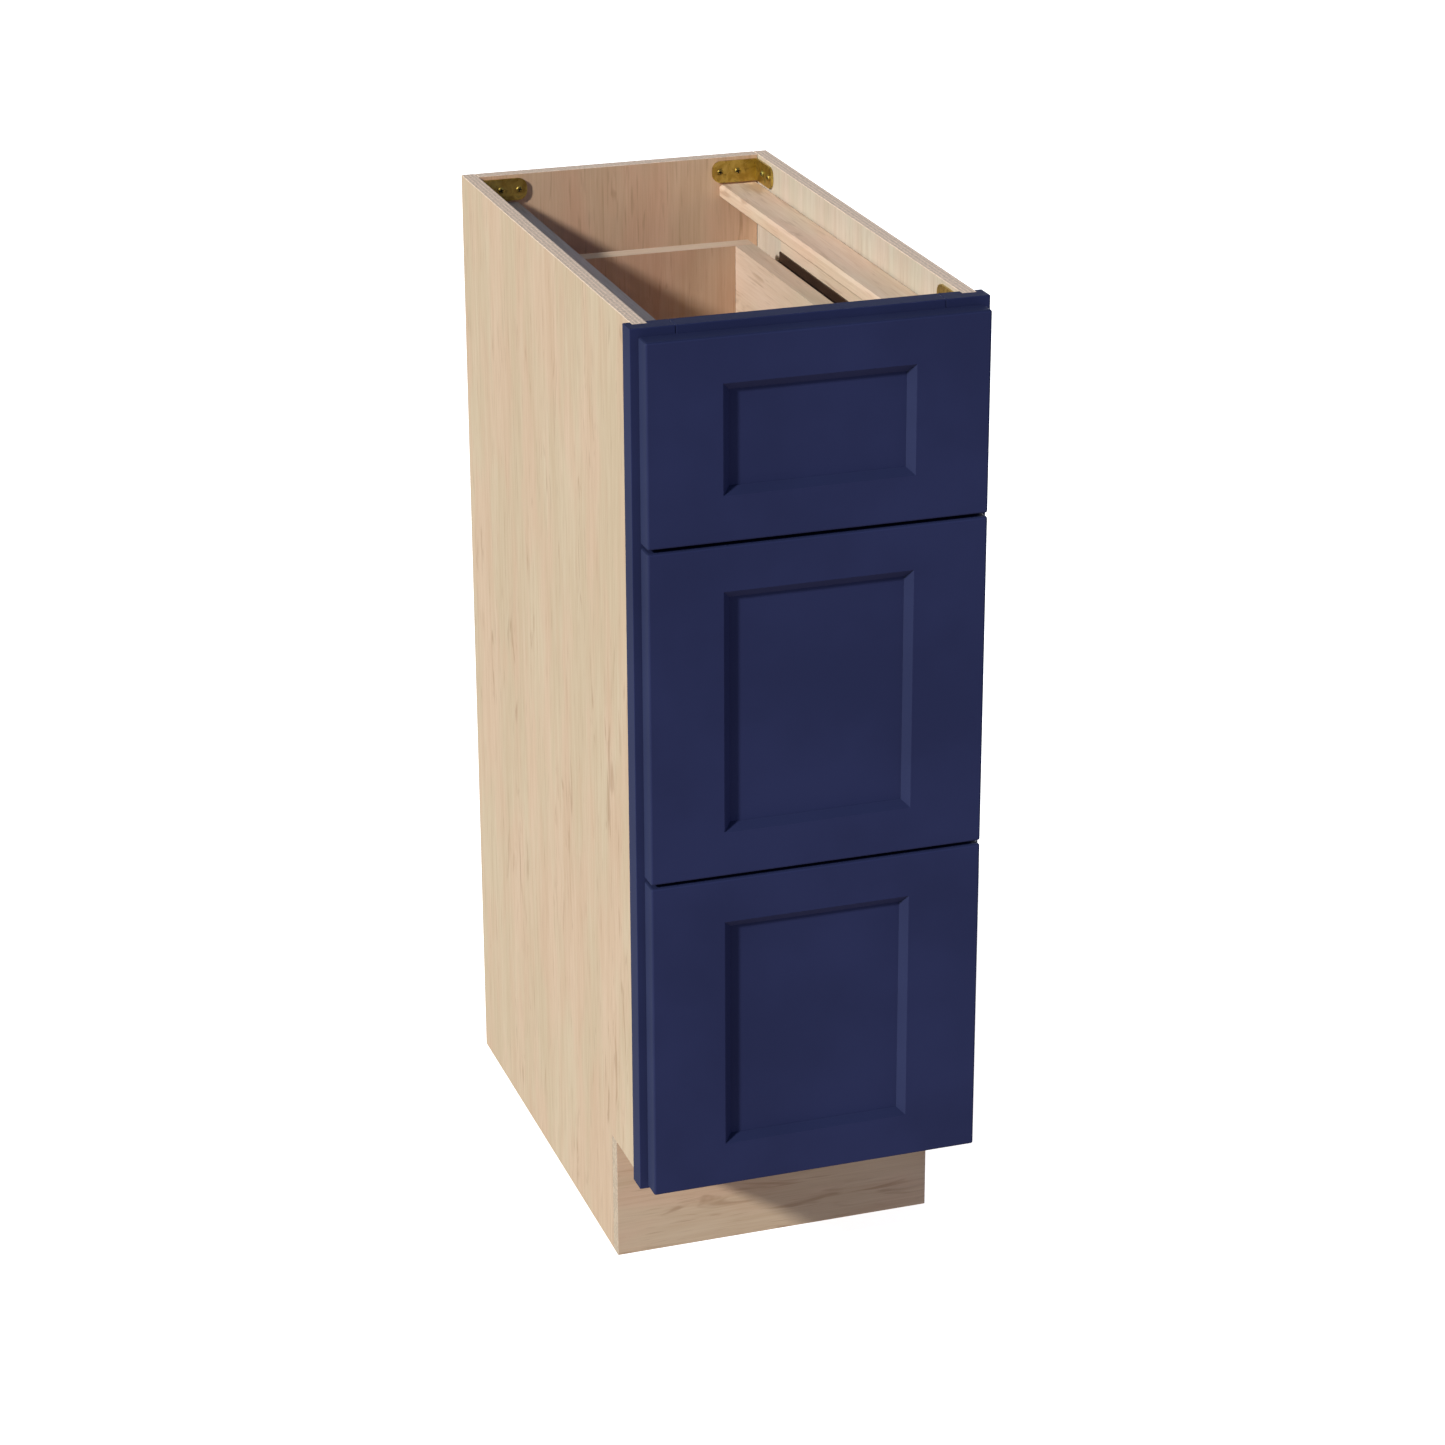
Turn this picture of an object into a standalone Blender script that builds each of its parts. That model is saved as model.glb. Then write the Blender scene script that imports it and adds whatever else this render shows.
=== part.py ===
"""Three-drawer bathroom vanity base: painted face frame and drawer fronts on a maple plywood case.

Metres, +Z up, front towards -Y. The origin is on the floor, under the middle of the cabinet.
"""
import math

import bmesh
import bpy

INCH = 0.0254
GAP = 0.0003                      # clearance between pieces that touch on the real cabinet

# overall
WIDTH = 12 * INCH                 # over the face frame
HEIGHT = 34.5 * INCH
CASE_DEPTH = 20.25 * INCH         # from the back of the face frame to the wall
FRAME_THICK = 0.75 * INCH
FRONT_THICK = 0.75 * INCH
BUMPER_GAP = 0.0015               # closed drawer fronts stand this far off the face frame
DEPTH = CASE_DEPTH + FRAME_THICK + BUMPER_GAP + FRONT_THICK

# case
LIP = 0.25 * INCH                 # face frame stands out past each side panel
SIDE_THICK = 0.5 * INCH
BACK_THICK = 0.5 * INCH
DECK_THICK = 0.5 * INCH
DADO = 0.25 * INCH                # depth of the housings that hold the panels
TOE_HEIGHT = 4.5 * INCH
TOE_RECESS = 2.8 * INCH           # from the back of the face frame to the toe-kick board
TOE_THICK = 0.5 * INCH
FRAME_MEMBER = 1.5 * INCH         # width of stiles and rails
LEDGE_WIDTH = 1.5 * INCH
LEDGE_THICK = 0.5 * INCH
LEDGE_DROP = 1.0 * INCH           # from the rim down to the top of the ledge

# drawer fronts, top drawer first
TOP_REVEAL = 0.25 * INCH
SIDE_REVEAL = 0.25 * INCH
FRONT_GAP = 0.125 * INCH
FRONT_HEIGHTS = (6.75 * INCH, 11.375 * INCH, 11.25 * INCH)
FRONT_STILE = 0.064
FRONT_RAIL = 0.039
PANEL_RECESS = 0.006
PANEL_BEVEL = 0.007               # width of the slope from the frame down to the panel
PANEL_THICK = 0.25 * INCH
PANEL_GROOVE = 0.008              # how far the panel runs into the frame

# drawer boxes
BOX_WIDTH = 8 * INCH
BOX_LENGTH = 18 * INCH
BOX_WALL = 0.018
BOX_TOP_CLEARANCE = 0.95 * INCH   # below the face-frame rail above
BOX_BOTTOM_CLEARANCE = 0.36 * INCH
BOTTOM_THICK = 0.25 * INCH
BOTTOM_RAISE = 0.009              # drawer bottom above the lower edge of the box
BOTTOM_GROOVE = 0.008
TAIL_PITCH = 0.030                # target spacing of the dovetails
TAIL_TIP = 0.35                   # half width of a tail at its tip, as a share of the pitch
TAIL_SLOPE = 1 / 7

# ball-bearing slides
SLIDE_LENGTH = 0.400
SLIDE_THICK = 0.5 * INCH
SLIDE_WALL = 0.0012
SLIDE_SETBACK = 0.0013            # front end of the slide behind the front of the face frame
SLIDE_TOP = 0.0013                # top flange above the drawer side
RACE_RETURN = 0.0015
CABINET_RACE = (0.0, 0.0095, 0.0225)        # from the wall: near side, far side; half height
MIDDLE_RACE = (0.0026, 0.0086, 0.0184)
DRAWER_RACE = (0.0052, 0.0121, 0.0144)
RACE_DROP = 0.0305                # top of the cabinet member's flange above the race centre

# corner braces
BRACE_WING = 1.75 * INCH
BRACE_HEIGHT = 0.8 * INCH
BRACE_THICK = 0.002
BRACE_CORNER = 0.0085
BRACE_HOLE = 0.0024
BRACE_HOLES = (0.020, 0.037)      # from the corner
BRACE_LIFT = 0.0015               # above the ledge

# eased edges
EASE_PLY = 0.0005
EASE_PAINT = 0.0005
EASE_LEDGE = 0.0025
EASE_FRONT = 0.0018

# derived planes
Y_BACK = DEPTH / 2
Y_FRAME = Y_BACK - CASE_DEPTH                      # back of the face frame
Y_FRAME_FRONT = Y_FRAME - FRAME_THICK
Y_FRONT_BACK = Y_FRAME_FRONT - BUMPER_GAP          # back of the drawer fronts
Y_FRONT = -DEPTH / 2
Y_TOE = Y_FRAME + TOE_RECESS
X_OUT = WIDTH / 2 - LIP                            # outer face of a side panel
X_IN = X_OUT - SIDE_THICK
X_OPEN = WIDTH / 2 - FRAME_MEMBER                  # edge of the face-frame openings
X_BOX = BOX_WIDTH / 2
Y_BOX = Y_FRONT_BACK + GAP
Y_BOX_END = Y_BOX + BOX_LENGTH
Y_SLIDE = Y_FRAME_FRONT + SLIDE_SETBACK
Y_SLIDE_END = Y_SLIDE + SLIDE_LENGTH
Z_DECK = TOE_HEIGHT + FRAME_MEMBER                 # top of the deck, level with the bottom rail
Z_LEDGE = HEIGHT - LEDGE_DROP                      # top of the ledges
SIDES = (("left", -1), ("right", 1))


def front_spans():
    """Bottom and top of each drawer front, top drawer first."""
    spans = []
    top = HEIGHT - TOP_REVEAL
    for height in FRONT_HEIGHTS:
        spans.append((top - height, top))
        top -= height + FRONT_GAP
    return spans


def opening_spans():
    """Bottom and top of each face-frame opening, between its rails."""
    fronts = front_spans()
    half = FRAME_MEMBER / 2
    seams = [(upper[0] + lower[1]) / 2 for upper, lower in zip(fronts, fronts[1:])]
    tops = [HEIGHT - FRAME_MEMBER] + [seam - half for seam in seams]
    bottoms = [seam + half for seam in seams] + [TOE_HEIGHT + FRAME_MEMBER]
    return list(zip(bottoms, tops))


# ---------------------------------------------------------------- scene helpers

def clear_scene():
    for obj in list(bpy.data.objects):
        bpy.data.objects.remove(obj, do_unlink=True)


def new_collection(name):
    collection = bpy.data.collections.new(name)
    bpy.context.scene.collection.children.link(collection)
    return collection


def new_material(name, color, roughness, metallic):
    material = bpy.data.materials.new(name)
    material.use_nodes = True
    shader = material.node_tree.nodes["Principled BSDF"]
    shader.inputs["Base Color"].default_value = (*color, 1.0)
    shader.inputs["Roughness"].default_value = roughness
    shader.inputs["Metallic"].default_value = metallic
    return material


def new_empty(name, location):
    empty = bpy.data.objects.new(name, None)
    empty.location = location
    empty.empty_display_size = 0.03
    PARTS.objects.link(empty)
    return empty


def place(name, mesh, location, material, parent=None, rotation=(0, 0, 0)):
    """Put a mesh into the model at a world location, under its body's empty."""
    obj = bpy.data.objects.new(name, mesh)
    obj.rotation_euler = rotation
    obj.location = location
    if parent is not None:
        obj.parent = parent
        obj.location = [world - own for world, own in zip(location, parent.location)]
    obj.data.materials.append(material)
    PARTS.objects.link(obj)
    return obj


def place_cutter(name, mesh, location, rotation=(0, 0, 0)):
    obj = bpy.data.objects.new(name, mesh)
    obj.location = location
    obj.rotation_euler = rotation
    obj.hide_render = True
    obj.display_type = "WIRE"
    CUTTERS.objects.link(obj)
    return obj


def boolean(obj, cutter, operation="DIFFERENCE"):
    modifier = obj.modifiers.new(operation.lower(), "BOOLEAN")
    modifier.operation = operation
    modifier.solver = "EXACT"
    modifier.object = cutter


# ---------------------------------------------------------------- shapes

def box_mesh(name, size):
    shape = bmesh.new()
    bmesh.ops.create_cube(shape, size=1.0)
    bmesh.ops.scale(shape, vec=size, verts=shape.verts)
    mesh = bpy.data.meshes.new(name)
    shape.to_mesh(mesh)
    shape.free()
    return mesh


def centre_and_size(low, high):
    centre = [(a + b) / 2 for a, b in zip(low, high)]
    size = [b - a for a, b in zip(low, high)]
    return centre, size


def board(name, low, high, material, parent=None, ease=EASE_PLY, segments=1):
    """A rectangular piece between two world corners, with eased edges."""
    centre, size = centre_and_size(low, high)
    obj = place(name, box_mesh(name, size), centre, material, parent)
    bevel = obj.modifiers.new("eased_edges", "BEVEL")
    bevel.width = ease
    bevel.segments = segments
    bevel.limit_method = "ANGLE"
    return obj


def cut_box(obj, low, high):
    """Remove the space between two world corners, and the clearance round it."""
    low = [value - GAP for value in low]
    high = [value + GAP for value in high]
    centre, size = centre_and_size(low, high)
    name = obj.name + "_cut"
    boolean(obj, place_cutter(name, box_mesh(name, size), centre))


def outline_mesh(name, loops, thickness):
    """A flat plate from closed 2D loops, centred on its mid plane, as one welded mesh."""
    curve = bpy.data.curves.new(name, "CURVE")
    curve.dimensions = "2D"
    curve.fill_mode = "BOTH"
    curve.extrude = thickness / 2
    for loop in loops:
        spline = curve.splines.new("POLY")
        spline.points.add(len(loop) - 1)
        for point, (u, v) in zip(spline.points, loop):
            point.co = (u, v, 0.0, 1.0)
        spline.use_cyclic_u = True
    helper = bpy.data.objects.new(name, curve)
    bpy.context.scene.collection.objects.link(helper)
    bpy.context.view_layer.update()
    evaluated = helper.evaluated_get(bpy.context.evaluated_depsgraph_get())
    mesh = bpy.data.meshes.new_from_object(evaluated)
    bpy.data.objects.remove(helper, do_unlink=True)
    bpy.data.curves.remove(curve)
    shape = bmesh.new()
    shape.from_mesh(mesh)
    bmesh.ops.remove_doubles(shape, verts=shape.verts, dist=0.00001)
    bmesh.ops.recalc_face_normals(shape, faces=shape.faces)
    shape.to_mesh(mesh)
    shape.free()
    return mesh


def arc(centre, radius, start, end, steps):
    """Points on an arc, angles in degrees."""
    points = []
    for step in range(steps + 1):
        angle = math.radians(start + (end - start) * step / steps)
        points.append((centre[0] + radius * math.cos(angle), centre[1] + radius * math.sin(angle)))
    return points


# ---------------------------------------------------------------- case

def side_panel(side, sign):
    low = (min(sign * X_IN, sign * X_OUT), Y_FRAME - DADO + GAP, 0)
    high = (max(sign * X_IN, sign * X_OUT), Y_BACK, HEIGHT)
    panel = board("side_panel_" + side, low, high, MAPLE_PLY)
    toe_low = (low[0], Y_FRAME - DADO, -GAP)
    toe_high = (high[0], Y_TOE + TOE_THICK, TOE_HEIGHT - GAP)
    cut_box(panel, toe_low, toe_high)
    cut_box(panel, *DECK)


def deck_panel():
    board("deck_panel", *DECK, MAPLE_PLY)


def back_panel():
    low = (-X_IN + GAP, Y_BACK - BACK_THICK, TOE_HEIGHT)
    board("back_panel", low, (X_IN - GAP, Y_BACK, HEIGHT), MAPLE_PLY)


def toe_kick_board():
    high = (X_OUT, Y_TOE + TOE_THICK, TOE_HEIGHT - GAP)
    board("toe_kick_board", (-X_OUT, Y_TOE, 0), high, MAPLE_PLY)


def stile(side, sign):
    outer = sign * WIDTH / 2
    inner = sign * X_OPEN
    low = (min(outer, inner), Y_FRAME_FRONT, TOE_HEIGHT)
    high = (max(outer, inner), Y_FRAME, HEIGHT)
    piece = board("stile_" + side, low, high, NAVY, ease=EASE_PAINT, segments=2)
    housing_low = (min(sign * X_IN, sign * X_OUT), Y_FRAME - DADO, TOE_HEIGHT - FRAME_MEMBER)
    housing_high = (max(sign * X_IN, sign * X_OUT), Y_FRAME + DADO, HEIGHT + FRAME_MEMBER)
    cut_box(piece, housing_low, housing_high)


def frame_rails():
    openings = opening_spans()
    tops = [HEIGHT] + [bottom for bottom, _ in openings]
    names = ("rail_top", "rail_upper_middle", "rail_lower_middle", "rail_bottom")
    for name, top in zip(names, tops):
        low = (-X_OPEN + GAP, Y_FRAME_FRONT, top - FRAME_MEMBER)
        board(name, low, (X_OPEN - GAP, Y_FRAME, top), NAVY, ease=EASE_PAINT, segments=2)


def ledge(side, sign):
    near = sign * (X_IN - LEDGE_WIDTH)
    far = sign * (X_IN - GAP)
    low = (min(near, far), Y_FRAME + GAP, Z_LEDGE - LEDGE_THICK)
    high = (max(near, far), Y_BACK - BACK_THICK - GAP, Z_LEDGE)
    board("ledge_" + side, low, high, MAPLE_SOLID, ease=EASE_LEDGE)


def slide_board(side, sign):
    near = sign * X_OPEN
    far = sign * (X_IN - GAP)
    low = (min(near, far), Y_FRAME + GAP, Z_DECK + GAP)
    high = (max(near, far), Y_SLIDE_END, Z_LEDGE - LEDGE_THICK - GAP)
    board("slide_board_" + side, low, high, MAPLE_PLY)


def brace_wing(name):
    """One wing of a brace: x from the corner outwards, y up, with a rounded end and two holes."""
    half = BRACE_HEIGHT / 2
    turn = half - BRACE_CORNER
    end = BRACE_WING - BRACE_CORNER
    outline = [(0, -half)]
    outline += arc((end, -turn), BRACE_CORNER, -90, 0, 6)
    outline += arc((end, turn), BRACE_CORNER, 0, 90, 6)
    outline += [(0, half)]
    holes = [arc((distance, 0), BRACE_HOLE, 0, 330, 11) for distance in BRACE_HOLES]
    return outline_mesh(name, [outline] + holes, BRACE_THICK)


def corner_brace(name, corner, sign_x, sign_y):
    """An L of two wings in a top corner; the signs point from the corner into the cabinet."""
    z = Z_LEDGE + BRACE_LIFT + BRACE_HEIGHT / 2
    x = corner[0] + sign_x * GAP
    y = corner[1] + sign_y * GAP
    half = BRACE_THICK / 2
    turn_x = 0 if sign_x > 0 else math.pi
    along_x = place(name, brace_wing(name), (x, y + sign_y * half, z), ZINC, rotation=(math.pi / 2, 0, turn_x))
    turn_y = math.pi / 2 if sign_y > 0 else -math.pi / 2
    wing = brace_wing(name + "_wing")
    along_y = place_cutter(name + "_wing", wing, (x + sign_x * half, y, z), (math.pi / 2, 0, turn_y))
    boolean(along_x, along_y, "UNION")


def corner_braces():
    y_rear = Y_BACK - BACK_THICK
    for side, sign in SIDES:
        corner_brace("corner_brace_rear_" + side, (sign * X_IN, y_rear), -sign, -1)
        corner_brace("corner_brace_front_" + side, (sign * X_IN, Y_FRAME), -sign, 1)


# ---------------------------------------------------------------- slides

def channel(race, mirrored=False, flange=None):
    """Section of a slide member: web, two lips and their returns; u from the wall, v up."""
    near, far, half = race
    wall = SLIDE_WALL
    turn = half - wall - RACE_RETURN
    top = half if flange is None else flange
    section = [(near, -half), (far, -half), (far, -turn), (far - wall, -turn), (far - wall, -half + wall)]
    section += [(near + wall, -half + wall), (near + wall, half - wall), (far - wall, half - wall)]
    section += [(far - wall, turn), (far, turn), (far, half)]
    if flange is not None:
        section += [(near + wall, half)]
        section += [(near + wall, top)]
    section += [(near, top)]
    if mirrored:
        section = [(near + far - u, v) for u, v in section]
    return section


def slide_member(name, side_sign, race_z, section, material, parent=None):
    """Extrude a section along the slide; u = 0 is the face of the slide board."""
    loop = [(side_sign * (X_OPEN - GAP - u), v) for u, v in section]
    middle = (Y_SLIDE + Y_SLIDE_END) / 2
    mesh = outline_mesh(name, [loop], SLIDE_LENGTH)
    place(name, mesh, (0, middle, race_z), material, parent, rotation=(math.pi / 2, 0, 0))


def slide_pair(number, box_top, drawer, middle):
    race_z = box_top + SLIDE_TOP - RACE_DROP
    label = "_" + str(number) + "_"
    for side, sign in SIDES:
        cabinet = channel(CABINET_RACE, flange=RACE_DROP)
        slide_member("slide_cabinet" + label + side, sign, race_z, cabinet, DARK_STEEL)
        slide_member("slide_middle" + label + side, sign, race_z, channel(MIDDLE_RACE), DARK_STEEL, middle)
        inner = channel(DRAWER_RACE, mirrored=True)
        slide_member("slide_drawer" + label + side, sign, race_z, inner, DARK_STEEL, drawer)


# ---------------------------------------------------------------- drawers

def tapered_cutter(name, low, high, spread):
    """A box cutter whose front face (towards -Y) is wider than its back by spread on each side."""
    centre, size = centre_and_size(low, high)
    mesh = box_mesh(name, size)
    for vertex in mesh.vertices:
        if vertex.co.y < 0:
            vertex.co.x += math.copysign(spread, vertex.co.x)
            vertex.co.z += math.copysign(spread, vertex.co.z)
    return place_cutter(name, mesh, centre)


def drawer_front(number, span, parent):
    bottom, top = span
    half = WIDTH / 2 - SIDE_REVEAL
    prefix = "drawer_" + str(number)
    frame = board(
        prefix + "_front_frame", (-half, Y_FRONT, bottom), (half, Y_FRONT_BACK, top), NAVY, parent, EASE_FRONT, 3
    )
    x = half - FRONT_STILE - PANEL_BEVEL
    z_low = bottom + FRONT_RAIL + PANEL_BEVEL
    z_high = top - FRONT_RAIL - PANEL_BEVEL
    y_panel = Y_FRONT + PANEL_RECESS
    margin = 0.001
    spread = PANEL_BEVEL * (PANEL_RECESS + margin) / PANEL_RECESS
    bevel = tapered_cutter(prefix + "_bevel", (-x, Y_FRONT - margin, z_low), (x, y_panel, z_high), spread)
    boolean(frame, bevel)
    window_name = prefix + "_window"
    centre, size = centre_and_size((-x, y_panel - margin, z_low), (x, Y_FRONT_BACK + margin, z_high))
    boolean(frame, place_cutter(window_name, box_mesh(window_name, size), centre))
    low = (-x - PANEL_GROOVE, y_panel, z_low - PANEL_GROOVE)
    high = (x + PANEL_GROOVE, y_panel + PANEL_THICK, z_high + PANEL_GROOVE)
    cut_box(frame, low, high)
    board(prefix + "_front_panel", low, high, NAVY, parent)


def tail_row(height):
    """Centre, half width at the tip and half width at the shoulder of each dovetail."""
    count = max(2, round(height / TAIL_PITCH))
    pitch = height / count
    tip = TAIL_TIP * pitch
    shoulder = tip - TAIL_SLOPE * BOX_WALL
    return [((index + 0.5) * pitch, tip, shoulder) for index in range(count)]


def box_side_outline(height):
    """Drawer side seen from outside: y from the front of the box, z from its lower edge."""
    front = BOX_WALL + GAP
    rear = BOX_LENGTH - BOX_WALL - GAP
    outline = [(front, 0), (rear, 0)]
    for centre, tip, shoulder in tail_row(height):
        outline += [(rear, centre - shoulder), (BOX_LENGTH, centre - tip)]
        outline += [(BOX_LENGTH, centre + tip), (rear, centre + shoulder)]
    outline += [(rear, height), (front, height)]
    for centre, tip, shoulder in reversed(tail_row(height)):
        outline += [(front, centre + shoulder), (0, centre + tip), (0, centre - tip), (front, centre - shoulder)]
    return outline


def socket_loops(height):
    """The spaces that the tails of one drawer side need in the front and back boards."""
    margin = 0.002
    loops = []
    for centre, tip, shoulder in tail_row(height):
        wide = tip + GAP + TAIL_SLOPE * margin
        narrow = shoulder + GAP - TAIL_SLOPE * margin
        for end, inside in ((-margin, BOX_WALL + margin), (BOX_LENGTH + margin, BOX_LENGTH - BOX_WALL - margin)):
            loops.append([
                (end, centre - wide), (end, centre + wide), (inside, centre + narrow), (inside, centre - narrow)
            ])
    return loops


def drawer_box(number, z_low, z_high, parent):
    """Dovetailed box: two sides between which the sub-front and back run, and a grooved-in bottom."""
    height = z_high - z_low
    prefix = "drawer_" + str(number) + "_box_"
    upright = (math.pi / 2, 0, math.pi / 2)
    reach = X_BOX - BOX_WALL + BOTTOM_GROOVE
    bottom_low = (-reach, Y_BOX + BOX_WALL - BOTTOM_GROOVE, z_low + BOTTOM_RAISE)
    bottom_high = (reach, Y_BOX_END - BOX_WALL + BOTTOM_GROOVE, z_low + BOTTOM_RAISE + BOTTOM_THICK)
    sockets = []
    for side, sign in SIDES:
        name = prefix + side
        location = (sign * (X_BOX - BOX_WALL / 2), Y_BOX, z_low)
        mesh = outline_mesh(name, [box_side_outline(height)], BOX_WALL)
        wall = place(name, mesh, location, MAPLE_SOLID, parent, upright)
        cut_box(wall, bottom_low, bottom_high)
        socket_mesh = outline_mesh(name + "_sockets", socket_loops(height), BOX_WALL + 2 * GAP)
        sockets.append(place_cutter(name + "_sockets", socket_mesh, location, upright))
    for label, y in (("front", Y_BOX), ("back", Y_BOX_END - BOX_WALL)):
        low = (-X_BOX, y, z_low)
        name = prefix + label
        centre, size = centre_and_size(low, (X_BOX, y + BOX_WALL, z_high))
        wall = place(name, box_mesh(name, size), centre, MAPLE_SOLID, parent)
        for socket in sockets:
            boolean(wall, socket)
        cut_box(wall, bottom_low, bottom_high)
    board(prefix + "bottom", bottom_low, bottom_high, MAPLE_PLY, parent)


def drawers():
    for index, (front, opening) in enumerate(zip(front_spans(), opening_spans())):
        number = index + 1
        centre = (0, Y_FRONT, (front[0] + front[1]) / 2)
        drawer = new_empty("drawer_" + str(number), centre)
        z_low = opening[0] + BOX_BOTTOM_CLEARANCE
        z_high = opening[1] - BOX_TOP_CLEARANCE
        middle = new_empty("slide_middle_" + str(number), (0, Y_SLIDE, z_high))
        drawer_front(number, front, drawer)
        drawer_box(number, z_low, z_high, drawer)
        slide_pair(number, z_high, drawer, middle)


def cabinet():
    for side, sign in SIDES:
        side_panel(side, sign)
        stile(side, sign)
        ledge(side, sign)
        slide_board(side, sign)
    deck_panel()
    back_panel()
    toe_kick_board()
    frame_rails()
    corner_braces()


clear_scene()
PARTS = new_collection("bathroom_vanity_cabinet")
CUTTERS = new_collection("cutters")
NAVY = new_material("painted_navy", (0.021, 0.025, 0.075), 0.42, 0.0)
MAPLE_PLY = new_material("maple_plywood", (0.68, 0.54, 0.38), 0.5, 0.0)
MAPLE_SOLID = new_material("maple_solid", (0.70, 0.55, 0.39), 0.45, 0.0)
ZINC = new_material("yellow_zinc", (0.55, 0.42, 0.12), 0.3, 1.0)
DARK_STEEL = new_material("dark_slide_steel", (0.035, 0.025, 0.02), 0.4, 1.0)

# the deck reaches into housings in both side panels
DECK = (
    (-X_IN - DADO, Y_FRAME + GAP, Z_DECK - DECK_THICK),
    (X_IN + DADO, Y_BACK - BACK_THICK - GAP, Z_DECK),
)

cabinet()
drawers()
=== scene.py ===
"""Looks for the three-drawer bathroom vanity base: materials, small hardware, light and camera."""
import math

import bmesh
import bpy
from mathutils import Matrix, Vector


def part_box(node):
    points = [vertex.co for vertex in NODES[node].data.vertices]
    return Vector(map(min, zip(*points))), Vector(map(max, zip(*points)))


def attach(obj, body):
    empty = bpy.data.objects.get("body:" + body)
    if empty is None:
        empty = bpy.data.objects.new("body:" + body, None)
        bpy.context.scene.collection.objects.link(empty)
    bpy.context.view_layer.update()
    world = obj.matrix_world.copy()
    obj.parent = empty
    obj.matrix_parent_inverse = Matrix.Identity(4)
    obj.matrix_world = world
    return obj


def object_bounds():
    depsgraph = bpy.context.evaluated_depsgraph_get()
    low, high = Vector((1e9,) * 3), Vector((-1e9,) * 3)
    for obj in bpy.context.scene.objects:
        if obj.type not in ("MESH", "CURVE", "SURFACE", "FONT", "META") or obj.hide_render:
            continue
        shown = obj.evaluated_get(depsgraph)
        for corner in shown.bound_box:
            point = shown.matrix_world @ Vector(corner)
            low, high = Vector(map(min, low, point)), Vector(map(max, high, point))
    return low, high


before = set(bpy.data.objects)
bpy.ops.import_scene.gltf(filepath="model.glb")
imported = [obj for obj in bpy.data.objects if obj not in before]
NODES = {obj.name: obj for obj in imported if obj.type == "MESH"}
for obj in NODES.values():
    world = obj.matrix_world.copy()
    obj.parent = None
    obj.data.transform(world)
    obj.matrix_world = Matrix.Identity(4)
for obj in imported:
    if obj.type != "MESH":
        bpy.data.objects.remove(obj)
CAD_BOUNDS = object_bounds()
DRAWERS = (1, 2, 3)
SIDES = (("left", 1.0), ("right", -1.0))    # each side, and which way along X is inward from it
X, Y, Z = 0, 1, 2

# camera: position in metres, heading from +Y towards +X, pitch and roll in degrees
CAMERA_POSITION = (-1.0062, -3.0394, 1.7088)
CAMERA_YAW = 18.470
CAMERA_PITCH = -21.804
CAMERA_ROLL = -0.197
CAMERA_LENS = 95.85
CAMERA_SENSOR = 36.0
CAMERA_CLIP_END = 200.0

# suns: name, direction of travel, strength, spread in degrees
SUNS = (
    ("key", (3.0, 1.2, -1.9), 3.62, 4.5),       # soft sun from the front left
    ("fill", (-0.62, -0.78, -0.06), 2.0, 12.0),  # low behind, for the back and the right-hand side
)

# studio room: axis, side of it that the light comes from, colour
ROOM = (
    (X, -1.0, (0.43, 0.54, 0.42)),
    (X, 1.0, (0.30, 0.37, 0.52)),
    (Y, -1.0, (0.080, 0.105, 0.24)),
    (Y, 1.0, (0.24, 0.24, 0.25)),
    (Z, -1.0, (1.12, 0.88, 0.71)),
    (Z, 1.0, (0.088, 0.104, 0.162)),
)
ROOM_FOCUS = 2.0            # power of the cosine with which each side's light falls off

FLOOR_SIZE = 60.0
FLOOR_DROP = 0.0002         # below the feet, so that the two faces never coincide
FLOOR_GLOW = 0.85

WHITE = (1.0, 1.0, 1.0)
BLACK = (0.0, 0.0, 0.0)

MAPLE_LIGHT = (0.630, 0.508, 0.396)
MAPLE_DARK = (0.555, 0.424, 0.312)
STREAK_SHARE = (0.64, 0.53, 0.45)           # a brown streak, as a share of the dark maple
PINK_DRIFT = (1.03, 0.972, 0.955)
GREEN_DRIFT = (0.988, 1.006, 0.975)
LIPPING_TINT = (1.06, 1.02, 0.98)

# maple patterns: squeeze along the grain, seed shift, then scale, detail, roughness, distortion
MAPLE_PATTERNS = {
    "figure": (0.12, 0.0, 9.0, 1.0, 0.4, 0.6),
    "drift": (0.30, 5.0, 24.0, 2.0, 0.5, 0.0),
    "bands": (0.06, 9.0, 190.0, 3.0, 0.6, 0.0),
    "fibres": (0.02, 13.0, 900.0, 2.0, 0.6, 0.0),
    "flecks": (0.06, 17.0, 420.0, 1.0, 0.5, 0.0),
    "minerals": (0.16, 21.0, 95.0, 2.0, 0.5, 1.1),
    "clusters": (0.4, 25.0, 13.0, 1.0, 0.5, 0.0),
}

# plywood edge: dark and light end of each ply's speckle, and the glue between plies
LONG_GRAIN_PLY = ((0.60, 0.46, 0.35), (0.90, 0.69, 0.53))
END_GRAIN_PLY = ((0.46, 0.355, 0.27), (0.76, 0.595, 0.46))
GLUE_LINE = (0.32, 0.24, 0.18)

END_GRAIN = ((0.44, 0.31, 0.20), (0.64, 0.50, 0.36))
END_GRAIN_RING = (0.36, 0.25, 0.16)

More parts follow.
